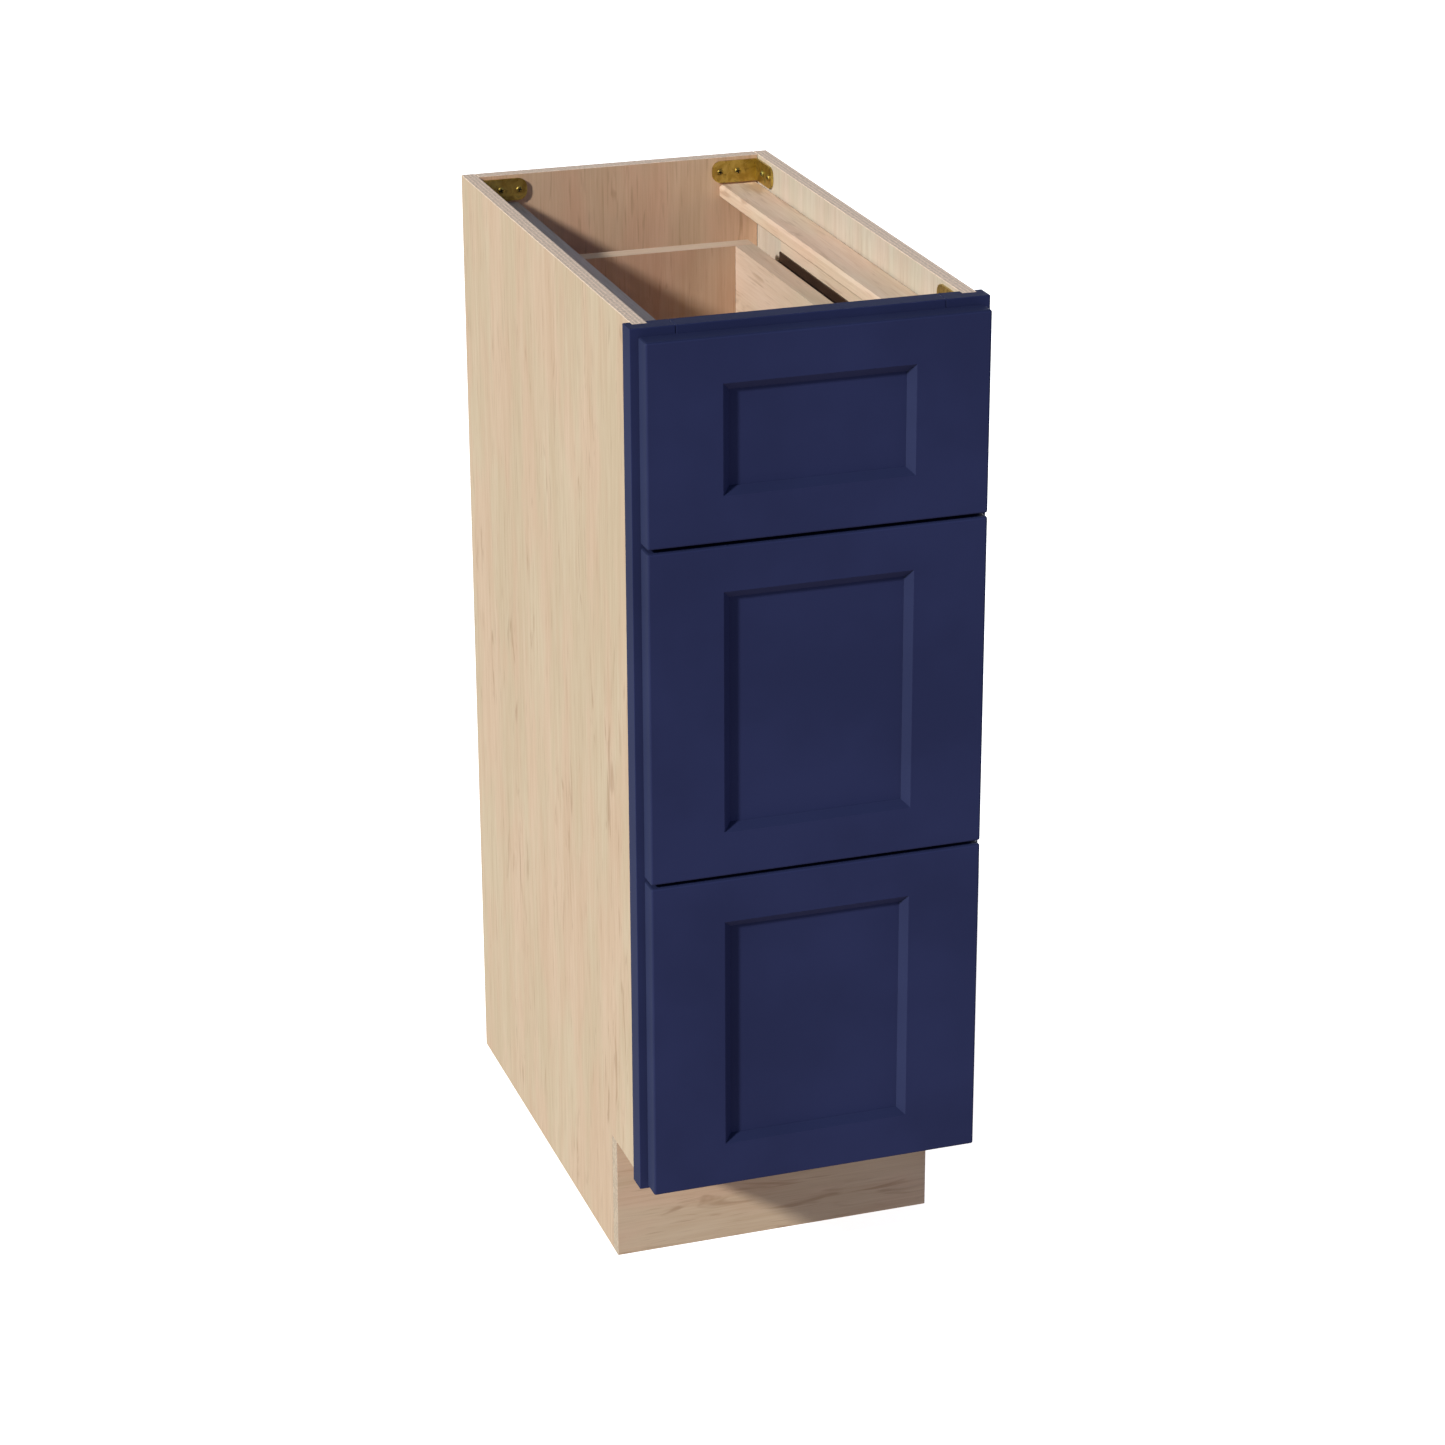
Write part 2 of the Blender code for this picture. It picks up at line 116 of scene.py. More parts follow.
# tint of single boards, a factor on the maple colours that also paints in light and shade, to even out
# the room's light
BOARD_TINT = {
    "side_panel_left": (0.915, 0.896, 0.872),
    "back_panel": (1.20, 1.02, 0.87),
    "drawer_1_box_back": (0.91, 0.74, 0.64),
    # painted shade: the left ledge lies in the left side's shadow and gets a bluish grey tint for it
    "ledge_left": (0.90, 0.94, 1.12),
    "ledge_right": (1.14, 1.09, 1.07),
    "toe_kick_board": (1.165, 1.075, 0.935),
    "side_panel_right": (0.915, 1.00, 1.07),
}
EDGE_TINT = {"toe_kick_board": (0.72, 0.74, 0.74)}
RIGHT_OUTER_TINT = (1.12, 1.00, 0.85)       # painted light: the right side's outer face is warmed against its inner one, to offset the bluish room light that falls on it

NAVY = (0.0292, 0.0360, 0.1015)
NAVY_PATCHES = (0.93, 1.09)                 # darkest and lightest patches, as factors

# painted shade: factors that darken the paint on faces that look up or left, where the light falls too
# strongly on them
UPWARD_PAINTED_SHADE = (0.66, 0.68, 0.68)
LEFTWARD_PAINTED_SHADE = (0.90, 0.90, 0.82)

ZINC_BROWN_GOLD = (0.46, 0.32, 0.070)
ZINC_GOLD = (0.66, 0.51, 0.135)
ZINC_OLIVE = (0.24, 0.25, 0.070)
ZINC_STAIN = (0.20, 0.13, 0.035)

# screw heads: radius and height in metres
BRACE_HEAD = (0.0029, 0.0016)
FRONT_HEAD = (0.0046, 0.0022)
SLIDE_HEAD_RADIUS = 0.0035

BRACE_THICKNESS = 0.002
BRACE_REACHES = (0.020, 0.037)              # screws on a wing, from the corner
FRONT_SCREW_X = 0.062
FRONT_SCREW_HEIGHTS = (0.30, 0.74)          # as shares of the box front's height
SLIDE_WEB = 0.0012

# slide members: name, screw-head height, and places of the screws as shares of the length
SLIDE_MEMBERS = (
    ("cabinet", 0.0008, (0.08, 0.46, 0.86)),
    ("drawer", 0.0014, (0.12, 0.52, 0.90)),
)

# pan head, from its foot to its crown: share of the radius, share of the height
HEAD_RINGS = (
    (1.0, -0.03), (1.0, 0.16), (0.975, 0.40), (0.92, 0.60), (0.83, 0.76), (0.72, 0.87),
    (0.60, 0.94), (0.48, 0.98), (0.38, 1.0), (0.28, 1.0), (0.19, 1.0), (0.10, 1.0),
)
HEAD_SEGMENTS = 40
CROWN = 0.7                                 # rings above this share of the height are cut by the recess
RECESS_ARM = 0.62                           # cross recess: half length and half width, by the radius
RECESS_HALF_WIDTH = 0.13
RECESS_DEPTH = 0.75
RECESS_TAPER = 0.45
RECESS_FLOOR = 0.25

# bumper, from its foot to its top: radius and height in metres
BUMPER_PROFILE = (
    (0.0042, 0.0), (0.0042, 0.0004), (0.0038, 0.0008),
    (0.0031, 0.00110), (0.0020, 0.00125), (0.0010, 0.00130),
)
BUMPER_SEGMENTS = 32
BUMPER_INSET = 0.013

STAPLE_COUNT = 8
STAPLE_INSET = 0.010                        # from the back panel's upright edges
STAPLE_MARGIN = 0.035                       # from its top and bottom
STAPLE_HALF = 0.0052
STAPLE_RADIUS = 0.00055
STAPLE_SINK = 0.0002
STAPLE_FLATNESS = 0.55
STAPLE_SEGMENTS = 10

# a staple's crown from leg to leg: share of its half length, how many radii it dips into the panel
STAPLE_PROFILE = ((-1.0, 0.9), (-0.97, 0.35), (-0.90, 0.0), (0.90, 0.0), (0.97, 0.35), (1.0, 0.9))

SMOOTH_ANGLE = 38.0


# ---------------------------------------------------------------- node helpers

def add(tree, kind, inputs=None, **settings):
    """A shader node with its settings, and its inputs given as numbers or as other sockets."""
    node = tree.nodes.new("ShaderNode" + kind)
    for key, value in settings.items():
        setattr(node, key, value)
    for key, value in (inputs or {}).items():
        if isinstance(value, bpy.types.NodeSocket):
            tree.links.new(value, node.inputs[key])
        else:
            node.inputs[key].default_value = value
    return node


def math_node(tree, operation, a, b=0.0, c=0.0):
    return add(tree, "Math", {0: a, 1: b, 2: c}, operation=operation).outputs[0]


def mix(tree, factor, a, b, blend="MIX"):
    """Colour mix; a and b are colours or sockets."""
    a = a if isinstance(a, bpy.types.NodeSocket) else (*a, 1.0)
    b = b if isinstance(b, bpy.types.NodeSocket) else (*b, 1.0)
    node = add(tree, "Mix", {0: factor, 6: a, 7: b}, data_type="RGBA", blend_type=blend)
    return node.outputs[2]


def tinted(tree, color, tint):
    return mix(tree, 1.0, color, tint, "MULTIPLY")


def smooth_range(tree, value, low, high, to_low=0.0, to_high=1.0):
    inputs = {0: value, 1: low, 2: high, 3: to_low, 4: to_high}
    return add(tree, "MapRange", inputs, interpolation_type="SMOOTHSTEP").outputs[0]


def linear_range(tree, value, low, high, to_low, to_high):
    return add(tree, "MapRange", {0: value, 1: low, 2: high, 3: to_low, 4: to_high}).outputs[0]


def object_coordinates(tree):
    return add(tree, "TexCoord").outputs["Object"]


def facing(tree, axis):
    """How far a face looks along an axis of the object, from -1 to 1."""
    normal = add(tree, "TexCoord").outputs["Normal"]
    return add(tree, "SeparateXYZ", {0: normal}).outputs[axis]


def noise(tree, vector, scale, detail=2.0, roughness=0.5, distortion=0.0):
    inputs = {
        "Vector": vector, "Scale": scale, "Detail": detail,
        "Roughness": roughness, "Distortion": distortion,
    }
    return add(tree, "TexNoise", inputs, noise_dimensions="3D").outputs[0]


def stretched(tree, axis, squeeze, seed):
    """Object coordinates squeezed along one axis, so that a pattern gets long along it."""
    scale = [1.0, 1.0, 1.0]
    scale[axis] = squeeze
    offset = (seed * 1.37, seed * 2.11, seed * 0.73)
    inputs = {"Vector": object_coordinates(tree), "Location": offset, "Scale": scale}
    return add(tree, "Mapping", inputs).outputs[0]


def new_material(name):
    material = bpy.data.materials.new(name)
    material.use_nodes = True
    tree = material.node_tree
    return material, tree, tree.nodes["Principled BSDF"]


def set_surface(tree, shader, color, rough):
    tree.links.new(color, shader.inputs["Base Color"])
    tree.links.new(rough, shader.inputs["Roughness"])


def set_bump(tree, shader, height, distance, strength):
    inputs = {"Height": height, "Distance": distance, "Strength": strength}
    tree.links.new(add(tree, "Bump", inputs).outputs[0], shader.inputs["Normal"])


# ---------------------------------------------------------------- wood

def maple_face(tree, grain, seed, tint, wild):
    """Colour and height of a clear-coated maple face with its grain along one axis."""
    light = tuple(channel * factor for channel, factor in zip(MAPLE_LIGHT, tint))
    dark = tuple(channel * factor for channel, factor in zip(MAPLE_DARK, tint))
    brown = tuple(channel * share for channel, share in zip(dark, STREAK_SHARE))
    layer = {}
    for name, (squeeze, shift, *settings) in MAPLE_PATTERNS.items():
        layer[name] = noise(tree, stretched(tree, grain, squeeze, seed + shift), *settings)

    # growth rings, bands and fine fibres set the tone between dark and light
    rings = math_node(tree, "PINGPONG", math_node(tree, "MULTIPLY", layer["figure"], 12.0), 1.0)
    tone = math_node(tree, "MULTIPLY", layer["bands"], 0.46)
    tone = math_node(tree, "MULTIPLY_ADD", rings, 0.13 * wild, tone)
    tone = math_node(tree, "MULTIPLY_ADD", layer["fibres"], 0.46, tone)
    color = mix(tree, smooth_range(tree, tone, 0.34, 0.74), dark, light)

    # broad pink and green drift, then short flecks, then rare mineral streaks
    drift = smooth_range(tree, layer["drift"], 0.36, 0.64)
    color = tinted(tree, color, mix(tree, drift, PINK_DRIFT, GREEN_DRIFT))
    color = mix(tree, smooth_range(tree, layer["flecks"], 0.60, 0.76, 0.0, 0.34), color, brown)
    rare = math_node(tree, "MULTIPLY_ADD", layer["clusters"], 0.5 * wild, layer["minerals"])
    color = mix(tree, smooth_range(tree, rare, 0.89, 1.05, 0.0, 0.55), color, brown)

    relief = math_node(tree, "MULTIPLY", layer["bands"], 0.4)
    return color, math_node(tree, "MULTIPLY_ADD", layer["fibres"], 0.6, relief)


def edge_mask(tree, axis):
    """1 on faces that don't face along the axis, 0 on those that do."""
    return smooth_range(tree, math_node(tree, "ABSOLUTE", facing(tree, axis)), 0.75, 0.9, 1.0, 0.0)


def plies(tree, axis, low, high, count, seed):
    """Colour of a plywood edge: thin layers of side grain and end grain between glue lines."""
    across = add(tree, "SeparateXYZ", {0: object_coordinates(tree)}).outputs[axis]
    wobble = noise(tree, stretched(tree, axis, 1.0, seed), 40.0)
    layer = linear_range(tree, across, low, high, 0.0, count)
    layer = math_node(tree, "MULTIPLY_ADD", wobble, 0.35, layer)
    odd = math_node(tree, "PINGPONG", layer, 1.0)
    speckle = noise(tree, stretched(tree, axis, 1.6, seed + 3.0), 330.0, 2.0, 0.7)
    speckle = smooth_range(tree, speckle, 0.26, 0.74)
    long_grain = mix(tree, speckle, *LONG_GRAIN_PLY)
    end_grain = mix(tree, speckle, *END_GRAIN_PLY)
    color = mix(tree, smooth_range(tree, odd, 0.36, 0.64), long_grain, end_grain)
    glue = math_node(tree, "ABSOLUTE", math_node(tree, "SUBTRACT", odd, 0.5))
    return mix(tree, smooth_range(tree, glue, 0.03, 0.12, 0.32, 0.0), color, GLUE_LINE)


def end_grain_color(tree, seed):
    speckle = noise(tree, stretched(tree, X, 1.0, seed), 700.0, 3.0, 0.7)
    rings = noise(tree, stretched(tree, Z, 0.3, seed + 2.0), 160.0)
    color = mix(tree, speckle, *END_GRAIN)
    return mix(tree, smooth_range(tree, rings, 0.4, 0.7, 0.0, 0.3), color, END_GRAIN_RING)


def finish_wood(tree, shader, color, height):
    """Satin clear coat that lets the fibres show."""
    set_surface(tree, shader, color, smooth_range(tree, height, 0.35, 0.65, 0.56, 0.44))
    shader.inputs["Specular IOR Level"].default_value = 0.35
    set_bump(tree, shader, height, 0.00012, 0.6)


def plywood(node, grain, thickness, count=7, wild=1.0):
    """Maple-faced board with count plies on its edges, or with solid lipping where count is 0."""
    seed = float(len(bpy.data.materials))
    material, tree, shader = new_material("maple_plywood." + node)
    low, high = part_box(node)
    face, height = maple_face(tree, grain, seed, BOARD_TINT.get(node, WHITE), wild)
    # painted light: the outer face of the right side gets a warmer tint than its inner face
    if node == "side_panel_right":
        outward = smooth_range(tree, facing(tree, X), 0.3, 0.7)
        face = tinted(tree, face, mix(tree, outward, WHITE, RIGHT_OUTER_TINT))
    if count:
        edge = plies(tree, thickness, low[thickness], high[thickness], count, seed)
    else:
        edge = maple_face(tree, X, seed + 31.0, LIPPING_TINT, wild)[0]
    edge = tinted(tree, edge, EDGE_TINT.get(node, WHITE))
    finish_wood(tree, shader, mix(tree, edge_mask(tree, thickness), face, edge), height)
    return material


def solid_maple(node, grain):
    """Solid maple for one CAD board, with end grain on the faces that cross its grain."""
    seed = float(len(bpy.data.materials))
    material, tree, shader = new_material("solid_maple." + node)
    face, height = maple_face(tree, grain, seed, BOARD_TINT.get(node, WHITE), 1.0)
    ends = math_node(tree, "SUBTRACT", 1.0, edge_mask(tree, grain))
    finish_wood(tree, shader, mix(tree, ends, face, end_grain_color(tree, seed)), height)
    return material


# ---------------------------------------------------------------- paint, metal and plastic

def navy_paint():
    """Satin navy enamel, sprayed on wood: a soft uneven sheen and a little orange peel."""
    material, tree, shader = new_material("navy_enamel")
    patches = noise(tree, object_coordinates(tree), 9.0, 3.0)
    peel = noise(tree, object_coordinates(tree), 750.0)
    grain = noise(tree, stretched(tree, Z, 0.04, 3.0), 240.0)
    low, high = (tuple(channel * factor for channel in NAVY) for factor in NAVY_PATCHES)
    color = mix(tree, smooth_range(tree, patches, 0.3, 0.7), low, high)
    # painted shade: faces that look up or left are darkened against the strong light on them
    upward = smooth_range(tree, facing(tree, Z), 0.35, 0.75)
    color = tinted(tree, color, mix(tree, upward, WHITE, UPWARD_PAINTED_SHADE))
    not_leftward = smooth_range(tree, facing(tree, X), -0.75, -0.35)
    color = tinted(tree, color, mix(tree, not_leftward, LEFTWARD_PAINTED_SHADE, WHITE))
    set_surface(tree, shader, color, linear_range(tree, patches, 0.2, 0.8, 0.50, 0.60))
    shader.inputs["Specular IOR Level"].default_value = 0.06
    set_bump(tree, shader, math_node(tree, "MULTIPLY_ADD", grain, 0.5, peel), 0.00006, 0.5)
    return material


def yellow_zinc(name, rough_low, rough_high, shade):
    """Yellow chromate over zinc: gold with olive and brown patches and fine rolling marks."""
    material, tree, shader = new_material(name)
    patches = noise(tree, object_coordinates(tree), 85.0, 3.0, 0.6, 0.8)
    stains = noise(tree, object_coordinates(tree), 210.0, 2.0, 0.6, 0.5)
    marks = noise(tree, stretched(tree, Z, 0.05, 2.0), 900.0)
    color = mix(tree, smooth_range(tree, patches, 0.36, 0.62), ZINC_BROWN_GOLD, ZINC_GOLD)
    color = mix(tree, smooth_range(tree, patches, 0.58, 0.74, 0.0, 0.6), color, ZINC_OLIVE)
    color = mix(tree, smooth_range(tree, stains, 0.58, 0.74, 0.0, 0.55), color, ZINC_STAIN)
    color = tinted(tree, color, (shade, shade, shade))
    set_surface(tree, shader, color, linear_range(tree, marks, 0.2, 0.8, rough_low, rough_high))
    shader.inputs["Metallic"].default_value = 1.0
    set_bump(tree, shader, marks, 0.00005, 0.5)
    return material


def dark_steel():
    """Dark bronze electro-coat on the slides, with a faint length-wise drawing texture."""
    material, tree, shader = new_material("dark_slide_coat")
    patches = noise(tree, object_coordinates(tree), 60.0, 3.0)
    drawn = noise(tree, stretched(tree, Y, 0.01, 4.0), 1100.0)
    color = mix(tree, patches, (0.026, 0.012, 0.007), (0.050, 0.025, 0.015))
    set_surface(tree, shader, color, linear_range(tree, drawn, 0.2, 0.8, 0.34, 0.5))
    shader.inputs["Metallic"].default_value = 0.15
    set_bump(tree, shader, drawn, 0.00004, 0.5)
    return material


def recess_painted_shade():
    """Painted shade: the inside of a screw's cross recess, coloured near-black for the shade that falls
    in it.
    """
    material, tree, shader = new_material("recess_painted_shade")
    shade_speckle = noise(tree, object_coordinates(tree), 900.0)
    color = mix(tree, shade_speckle, (0.020, 0.016, 0.008), (0.060, 0.048, 0.020))
    set_surface(tree, shader, color, linear_range(tree, shade_speckle, 0.2, 0.8, 0.5, 0.7))
    shader.inputs["Metallic"].default_value = 0.6
    return material


def clear_rubber():
    """Slightly cloudy clear polyurethane."""
    material, tree, shader = new_material("clear_polyurethane")
    haze = noise(tree, object_coordinates(tree), 600.0)
    color = mix(tree, haze, (0.72, 0.74, 0.76), (0.86, 0.87, 0.88))
    set_surface(tree, shader, color, linear_range(tree, haze, 0.2, 0.8, 0.18, 0.32))
    shader.inputs["Transmission Weight"].default_value = 0.6
    return material


def staple_wire():
    """Galvanised staple wire, dull grey with fine scratches."""
    material, tree, shader = new_material("staple_wire")
    wear = noise(tree, stretched(tree, Z, 0.1, 6.0), 1200.0)
    color = mix(tree, wear, (0.36, 0.36, 0.37), (0.60, 0.60, 0.61))
    set_surface(tree, shader, color, linear_range(tree, wear, 0.2, 0.8, 0.30, 0.50))
    shader.inputs["Metallic"].default_value = 1.0
    return material


# ---------------------------------------------------------------- small hardware

def angles(segments):
    return [2.0 * math.pi * k / segments for k in range(segments)]


def skin(shape, rings):
    """Quads between each ring of vertices and the next one."""
    faces = []
    for lower, upper in zip(rings, rings[1:]):
        for k in range(len(lower)):
            j = (k + 1) % len(lower)
            faces.append(shape.faces.new((lower[k], lower[j], upper[j], upper[k])))
    return faces


def cap(shape, first, last=None):
    """Closes the first ring, and the last one where it is given."""
    if last:
        shape.faces.new(last)
    shape.faces.new(list(reversed(first)))


def across(normal):
    """Two directions across a unit axis."""
    side = Vector((0.0, 0.0, 1.0)) if abs(normal.z) < 0.5 else Vector((1.0, 0.0, 0.0))
    return side, normal.cross(side)


def recess_depth(u, v, radius):
    """Depth of the cross recess at a point of the head, as a share of the head's height."""
    off_arm, along = sorted((abs(u), abs(v)))
    arm = RECESS_ARM * radius
    if off_arm > RECESS_HALF_WIDTH * radius or along > arm:
        return 0.0
    return RECESS_DEPTH * (1.0 - RECESS_TAPER * along / arm)


def phillips_head(shape, base, normal, size, turn):
    """A pan head with a cross recess, standing on base; its recess uses the second material, a
    near-black painted shade.
    """
    base, normal = Vector(base), Vector(normal)
    radius, height = size
    u_axis, v_axis = across(normal)
    rings = []
    for fraction, lift in HEAD_RINGS:
        reach = fraction * radius
        ring = []
        for angle in angles(HEAD_SEGMENTS):
            cut = recess_depth(reach * math.cos(angle), reach * math.sin(angle), radius)
            rise = lift * height - (cut * height if lift > CROWN else 0.0)
            spot = u_axis * (reach * math.cos(angle + turn)) + v_axis * (reach * math.sin(angle + turn))
            ring.append(shape.verts.new(base + spot + normal * rise))
        rings.append(ring)
    for face in skin(shape, rings):
        depths = [(vert.co - base).dot(normal) for vert in face.verts]
        radial = (face.verts[0].co - base - normal * depths[0]).length
        # painted shade: faces inside the recess take the near-black second material
        face.material_index = int(min(depths) < CROWN * height and radial < 0.75 * radius)
    center = shape.verts.new(base + normal * (RECESS_FLOOR * height))
    inner = rings[-1]
    for k, vert in enumerate(inner):
        shape.faces.new((vert, inner[(k + 1) % HEAD_SEGMENTS], center)).material_index = 1
    cap(shape, rings[0])


def dome(shape, base, normal, profile):
    """A turned pad: profile lists (radius, height) from its foot to its rounded top."""
    base, normal = Vector(base), Vector(normal)
    u_axis, v_axis = across(normal)
    rings = []
    for radius, lift in profile:
        ring = []
        for angle in angles(BUMPER_SEGMENTS):
            spot = u_axis * (radius * math.cos(angle)) + v_axis * (radius * math.sin(angle))
            ring.append(shape.verts.new(base + spot + normal * lift))
        rings.append(ring)
    skin(shape, rings)
    cap(shape, rings[0], rings[-1])


def staple(shape, center, lean):
    """The crown of one staple, a flattened wire whose ends dip into the panel."""
    along = Vector((math.sin(lean), 0.0, math.cos(lean)))
    sideways = Vector((math.cos(lean), 0.0, -math.sin(lean)))
    rings = []
    for share, sink in STAPLE_PROFILE:
        middle = Vector(center) + along * (STAPLE_HALF * share)
        ring = []
        for angle in angles(STAPLE_SEGMENTS):
            lift = STAPLE_RADIUS * (STAPLE_FLATNESS * math.cos(angle) - sink)
            spot = sideways * (STAPLE_RADIUS * math.sin(angle)) + Vector((0.0, lift, 0.0))
            ring.append(shape.verts.new(middle + spot))
        rings.append(ring)
    skin(shape, rings)
    cap(shape, rings[0], rings[-1])


def make_piece(name, shape, materials, body):
    bmesh.ops.recalc_face_normals(shape, faces=shape.faces)
    mesh = bpy.data.meshes.new(name)
    shape.to_mesh(mesh)
    shape.free()
    for polygon in mesh.polygons:
        polygon.use_smooth = True
    mesh.set_sharp_from_angle(angle=math.radians(SMOOTH_ANGLE))
    for material in materials:
        mesh.materials.append(material)
    piece = bpy.data.objects.new(name, mesh)
    bpy.context.scene.collection.objects.link(piece)
    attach(piece, body)


def brace_screws(metals):
    """Two pan-head screws in each wing of the four corner braces."""
    for end in ("front", "rear"):
        for side, sign in SIDES:
            low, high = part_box(f"corner_brace_{end}_{side}")
            corner_x = low[X] if side == "left" else high[X]
            corner_y, inward = (low[Y], 1.0) if end == "front" else (high[Y], -1.0)
            z = 0.5 * (low[Z] + high[Z])
            shape = bmesh.new()
            for index, reach in enumerate(BRACE_REACHES):
                spot = (corner_x + sign * BRACE_THICKNESS, corner_y + inward * reach, z)
                phillips_head(shape, spot, (sign, 0.0, 0.0), BRACE_HEAD, 0.5 + 0.9 * index)
                spot = (corner_x + sign * reach, corner_y + inward * BRACE_THICKNESS, z)
                phillips_head(shape, spot, (0.0, inward, 0.0), BRACE_HEAD, 0.2 + 1.1 * index)
            make_piece(f"brace_screws_{end}_{side}", shape, metals, "cabinet")


def front_screws(metals):
    """Four screws through each drawer box's front board into its drawer front."""
    for number in DRAWERS:
        low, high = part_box(f"drawer_{number}_box_front")
        shape = bmesh.new()
        for x in (-FRONT_SCREW_X, FRONT_SCREW_X):
            for share in FRONT_SCREW_HEIGHTS:
                spot = (x, high[Y], low[Z] + share * (high[Z] - low[Z]))
                phillips_head(shape, spot, (0.0, 1.0, 0.0), FRONT_HEAD, 8.0 * x + share)
        make_piece(f"drawer_{number}_front_screws", shape, metals, f"drawer_{number}")


def slide_screws(metals):
    """Three screws through the web of each cabinet member and each drawer member."""
    for number in DRAWERS:
        for member, head_height, shares in SLIDE_MEMBERS:
            shape = bmesh.new()
            for side, sign in SIDES:
                low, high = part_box(f"slide_{member}_{number}_{side}")
                race_low, race_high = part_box(f"slide_drawer_{number}_{side}")
                z = 0.5 * (race_low[Z] + race_high[Z])
                towards = sign if member == "cabinet" else -sign
                x = low[X] + SLIDE_WEB if towards > 0 else high[X] - SLIDE_WEB
                for share in shares:
                    spot = (x, low[Y] + share * (high[Y] - low[Y]), z)
                    size = (SLIDE_HEAD_RADIUS, head_height)
                    phillips_head(shape, spot, (towards, 0.0, 0.0), size, 5.0 * share + sign)
            body = "cabinet" if member == "cabinet" else f"drawer_{number}"
            make_piece(f"slide_screws_{member}_{number}", shape, metals, body)


def bumpers(clear):
    """Clear stick-on bumpers on the back corners of the drawer fronts."""
    for number in DRAWERS:
        low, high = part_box(f"drawer_{number}_front_frame")
        shape = bmesh.new()
        for x in (low[X] + BUMPER_INSET, high[X] - BUMPER_INSET):
            for z in (low[Z] + BUMPER_INSET, high[Z] - BUMPER_INSET):
                dome(shape, (x, high[Y], z), (0.0, 1.0, 0.0), BUMPER_PROFILE)
        make_piece(f"drawer_{number}_bumpers", shape, (clear,), f"drawer_{number}")


def staples(wire):
    """Crowns of the staples that hold the back panel, in two upright rows."""
    low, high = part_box("back_panel")
    shape = bmesh.new()
    run = high[Z] - low[Z] - 2.0 * STAPLE_MARGIN
    for x in (low[X] + STAPLE_INSET, high[X] - STAPLE_INSET):
        for index in range(STAPLE_COUNT):
            z = low[Z] + STAPLE_MARGIN + run * index / (STAPLE_COUNT - 1)
            lean = 0.12 * math.sin(7.0 * index + 40.0 * x)
            staple(shape, (x, high[Y] - STAPLE_SINK, z), lean)
    make_piece("back_panel_staples", shape, (wire,), "cabinet")


def make_hardware():
    metals = (yellow_zinc("yellow_zinc_screws", 0.42, 0.58, 0.8), recess_painted_shade())
    brace_screws(metals)
    front_screws(metals)
    slide_screws(metals)
    bumpers(clear_rubber())
    staples(staple_wire())


# ---------------------------------------------------------------- CAD nodes

def board_material(name):
    """Wood for one board: its grain, the axis of its thickness, and its plies."""
    if name.startswith("side_panel"):
        return plywood(name, Z, X)
    if name == "back_panel":
        return plywood(name, Z, Y)
    if name == "deck_panel":
        return plywood(name, Y, Z)
    if name == "toe_kick_board":
        return plywood(name, X, Y, wild=1.35)
    if name.startswith("slide_board"):
        return plywood(name, Y, X, count=9)
    if name.endswith("box_bottom"):
        return plywood(name, X, Z, count=3)
    if name.endswith("box_back"):
        return plywood(name, Z, Y, count=0)
    return solid_maple(name, X if name.endswith("box_front") else Y)


def dress_nodes():
    """One material for each CAD node; the woods are seeded by their order of making."""
    navy = navy_paint()
    zinc = yellow_zinc("yellow_zinc", 0.28, 0.46, 1.0)
    steel = dark_steel()
    for name, node in NODES.items():
        if name.startswith(("stile", "rail")) or name.endswith(("front_frame", "front_panel")):
            material = navy
        elif name.startswith("corner_brace"):
            material = zinc
        elif name.startswith(("slide_cabinet", "slide_middle", "slide_drawer")):
            material = steel
        else:
            material = board_material(name)
        node.data.materials.clear()
        node.data.materials.append(material)


# ---------------------------------------------------------------- stage

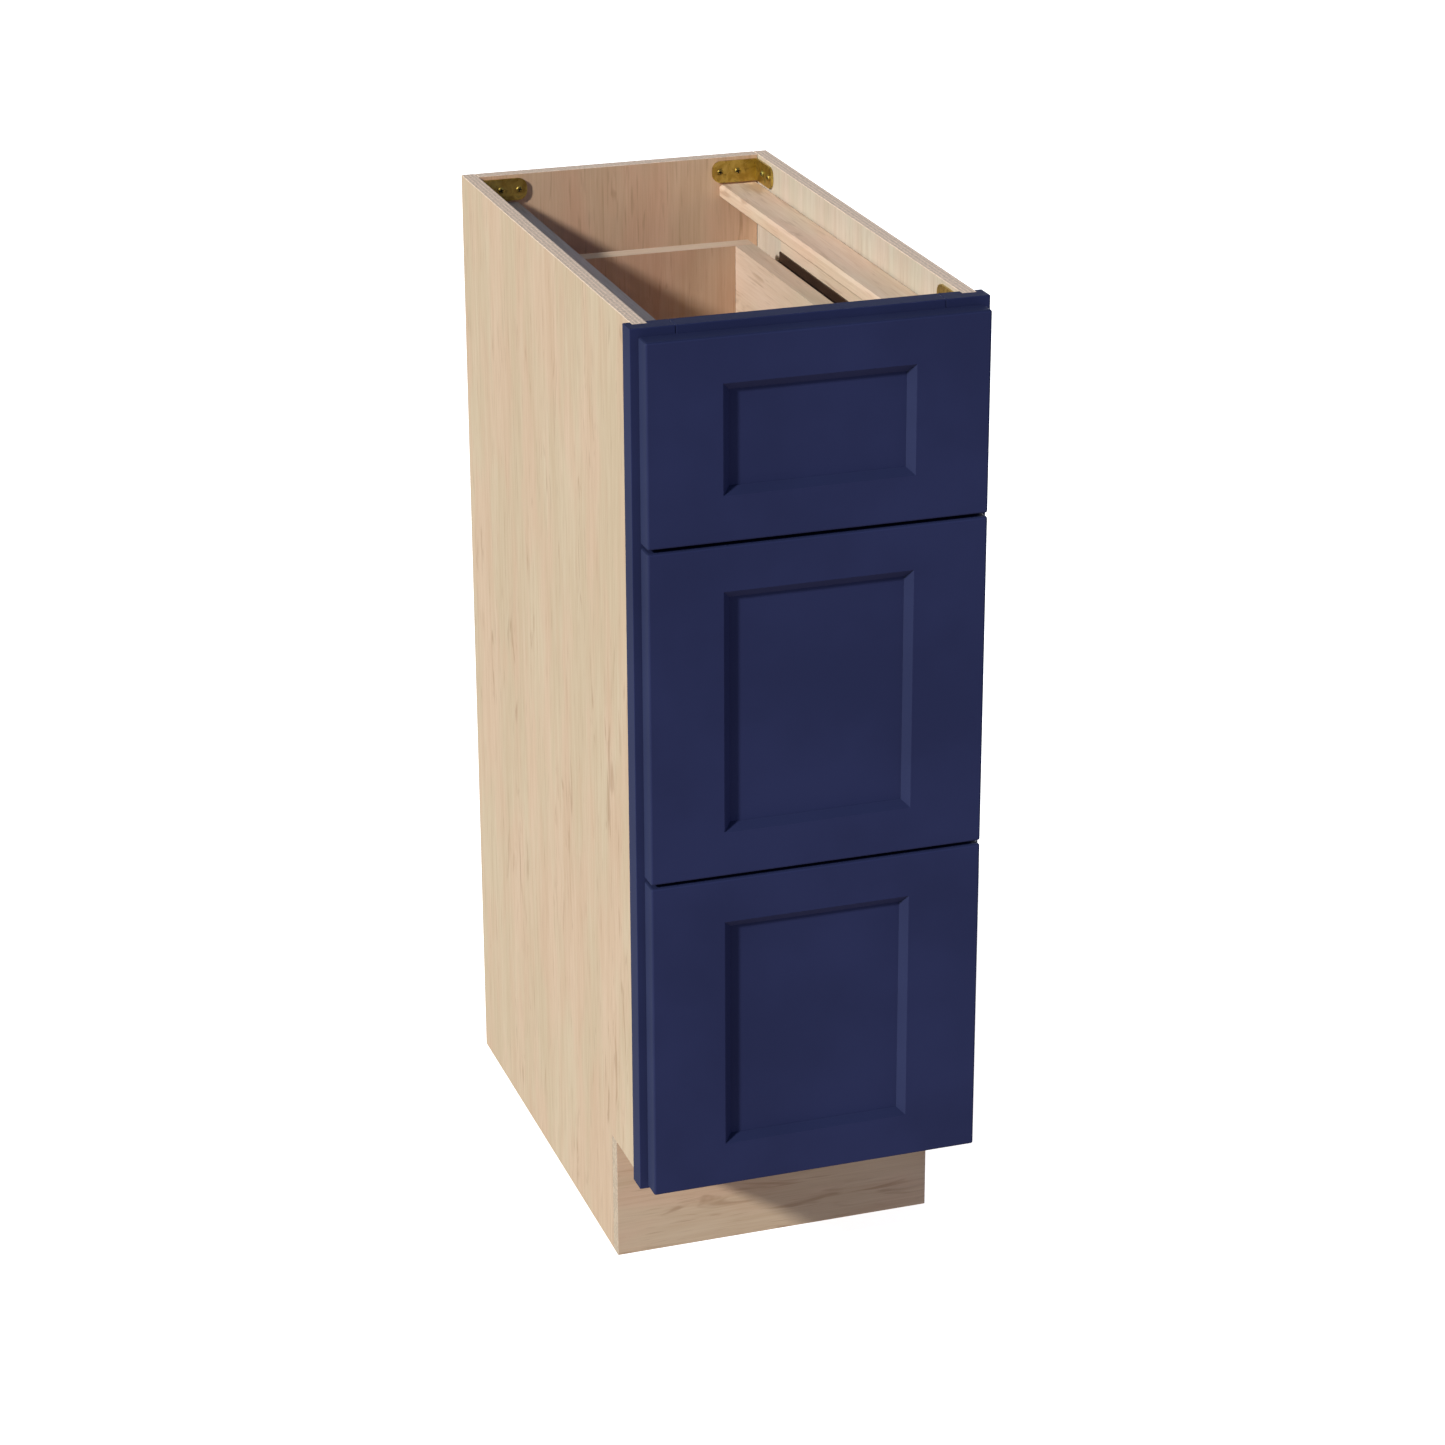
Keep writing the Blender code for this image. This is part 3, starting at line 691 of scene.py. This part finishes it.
def make_floor():
    mesh = bpy.data.meshes.new("floor")
    shape = bmesh.new()
    bmesh.ops.create_grid(shape, x_segments=1, y_segments=1, size=FLOOR_SIZE)
    shape.to_mesh(mesh)
    shape.free()
    floor = bpy.data.objects.new("floor", mesh)
    floor.location.z = CAD_BOUNDS[0][Z] - FLOOR_DROP
    bpy.context.scene.collection.objects.link(floor)
    material, _, shader = new_material("floor")
    shader.inputs["Base Color"].default_value = (0.9, 0.9, 0.9, 1.0)
    shader.inputs["Roughness"].default_value = 0.9
    shader.inputs["Emission Color"].default_value = (*WHITE, 1.0)
    shader.inputs["Emission Strength"].default_value = FLOOR_GLOW
    mesh.materials.append(material)
    floor.visible_glossy = False
    floor.visible_diffuse = False
    floor.visible_shadow = False


def make_suns():
    for name, travel, strength, spread in SUNS:
        light = bpy.data.lights.new(name, "SUN")
        light.energy = strength
        light.angle = math.radians(spread)
        lamp = bpy.data.objects.new(name, light)
        lamp.rotation_euler = Vector(travel).to_track_quat("-Z", "Y").to_euler()
        bpy.context.scene.collection.objects.link(lamp)


def make_room():
    """Light from six sides, each with its own colour, behind a white backdrop."""
    world = bpy.data.worlds.new("studio")
    world.use_nodes = True
    bpy.context.scene.world = world
    tree = world.node_tree
    direction = add(tree, "SeparateXYZ", {0: add(tree, "TexCoord").outputs["Generated"]}).outputs
    room = BLACK
    for axis, side, color in ROOM:
        towards = math_node(tree, "MULTIPLY", direction[axis], side)
        towards = math_node(tree, "MAXIMUM", towards, 0.0)
        lobe = mix(tree, math_node(tree, "POWER", towards, ROOM_FOCUS), BLACK, color)
        room = mix(tree, 1.0, room, lobe, "ADD")
    seen = add(tree, "LightPath").outputs["Is Camera Ray"]
    tree.links.new(mix(tree, seen, room, WHITE), tree.nodes["Background"].inputs["Color"])


def make_camera():
    data = bpy.data.cameras.new("camera")
    data.lens = CAMERA_LENS
    data.sensor_width = CAMERA_SENSOR
    data.clip_end = CAMERA_CLIP_END
    camera = bpy.data.objects.new("camera", data)
    heading = Matrix.Rotation(math.radians(-CAMERA_YAW), 4, "Z")
    tilt = Matrix.Rotation(math.radians(90.0 + CAMERA_PITCH), 4, "X")
    roll = Matrix.Rotation(math.radians(CAMERA_ROLL), 4, "Z")
    camera.matrix_world = Matrix.Translation(CAMERA_POSITION) @ heading @ tilt @ roll
    bpy.context.scene.collection.objects.link(camera)
    bpy.context.scene.camera = camera


bpy.context.scene.view_settings.view_transform = "Standard"
make_camera()
make_floor()
make_suns()
make_room()
dress_nodes()
make_hardware()
